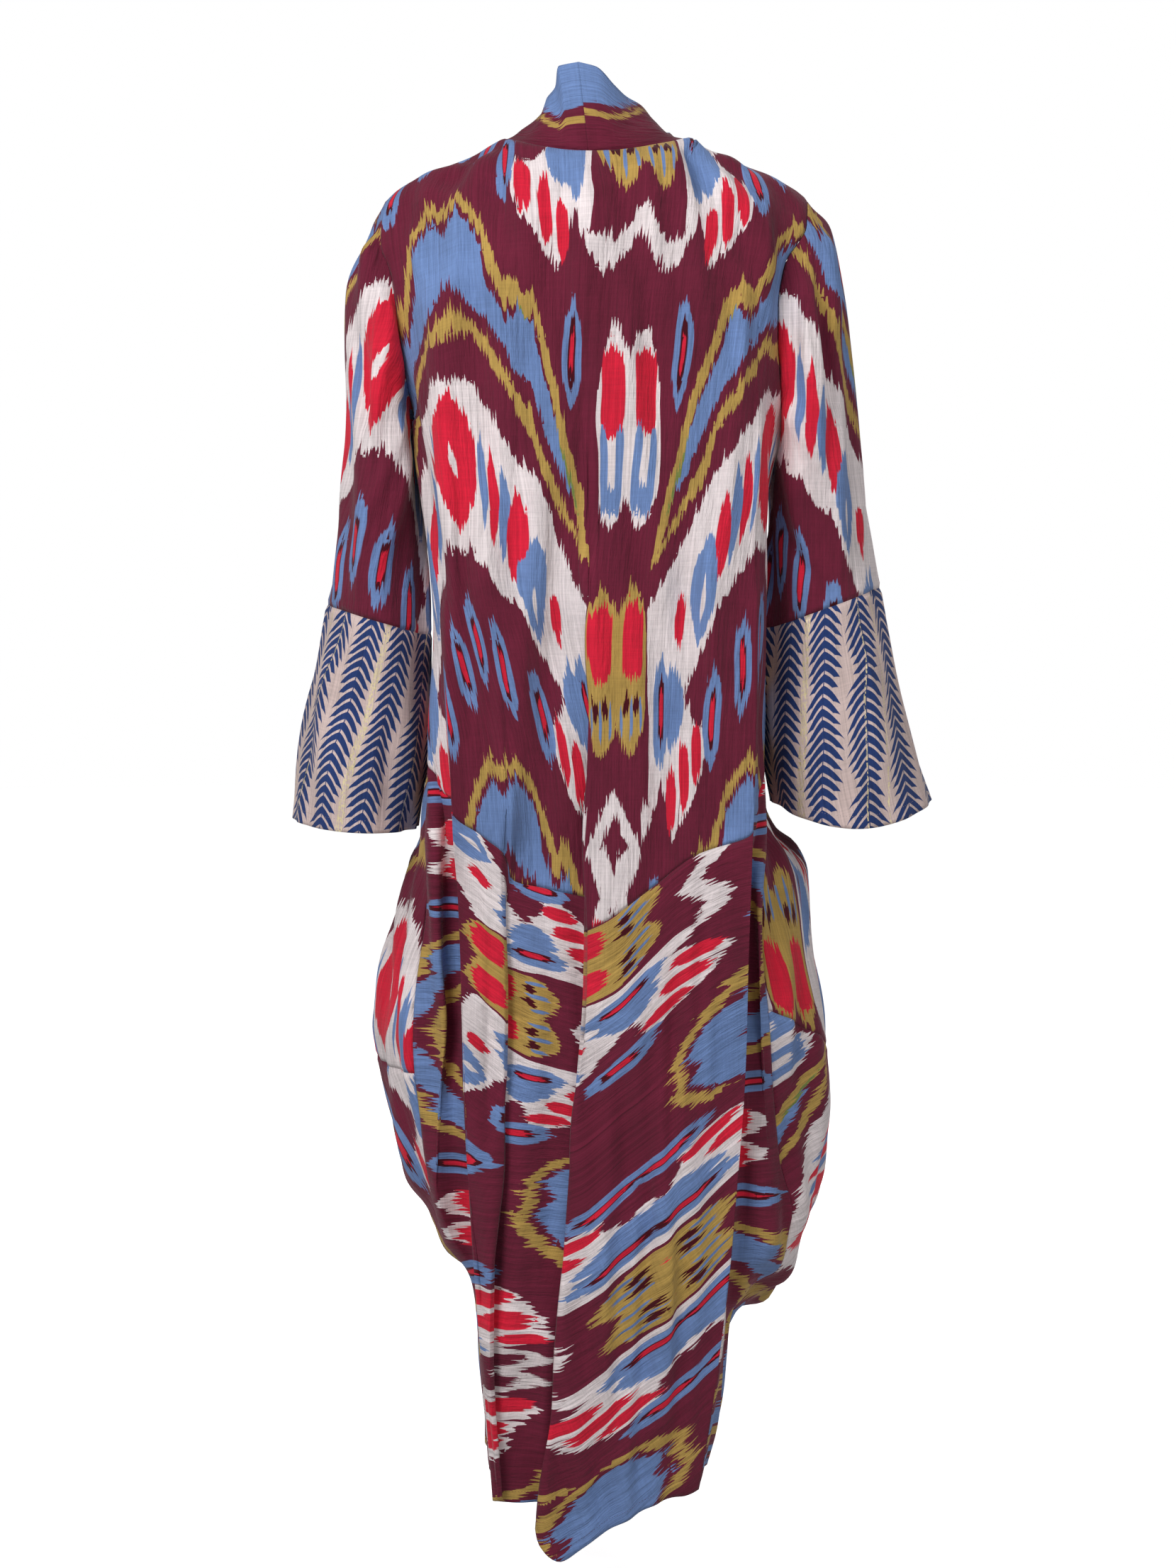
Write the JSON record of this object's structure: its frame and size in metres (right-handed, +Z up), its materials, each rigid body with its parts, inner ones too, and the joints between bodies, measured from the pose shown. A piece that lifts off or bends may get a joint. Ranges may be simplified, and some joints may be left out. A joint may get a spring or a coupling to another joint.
{
  "type": "kaftan",
  "caption": "Long open-front cocoon kaftan of thin ikat cotton in worn form, with bell sleeves, deep contrast cuffs and a shawl collar.",
  "frame": {"origin": "at the base of the neck, midway between the two neck points, level with the shoulder seams' inner ends, where the wearer's shoulders carry the garment", "axes": "+Z up, +Y towards the wearer's front, +X towards the wearer's right"},
  "size_m": [0.6699, 0.3245, 1.5107],
  "materials": {
    "ikat_cotton": "matte slubbed cotton printed with an ikat pattern in maroon, white, blue, mustard and red",
    "cuff_cotton": "matte pinkish beige cotton with navy feather columns and thin gold lurex lines"
  },
  "bodies": {
    "root": {"back": "ikat_cotton", "back_skirt_left": "ikat_cotton", "back_skirt_right": "ikat_cotton", "front_left": "ikat_cotton", "front_right": "ikat_cotton", "front_skirt_left": "ikat_cotton", "front_skirt_right": "ikat_cotton", "sleeve_left": "ikat_cotton", "sleeve_right": "ikat_cotton", "cuff_left": "cuff_cotton", "cuff_right": "cuff_cotton", "collar_left": "ikat_cotton", "collar_right": "ikat_cotton"}
  },
  "joints": []
}
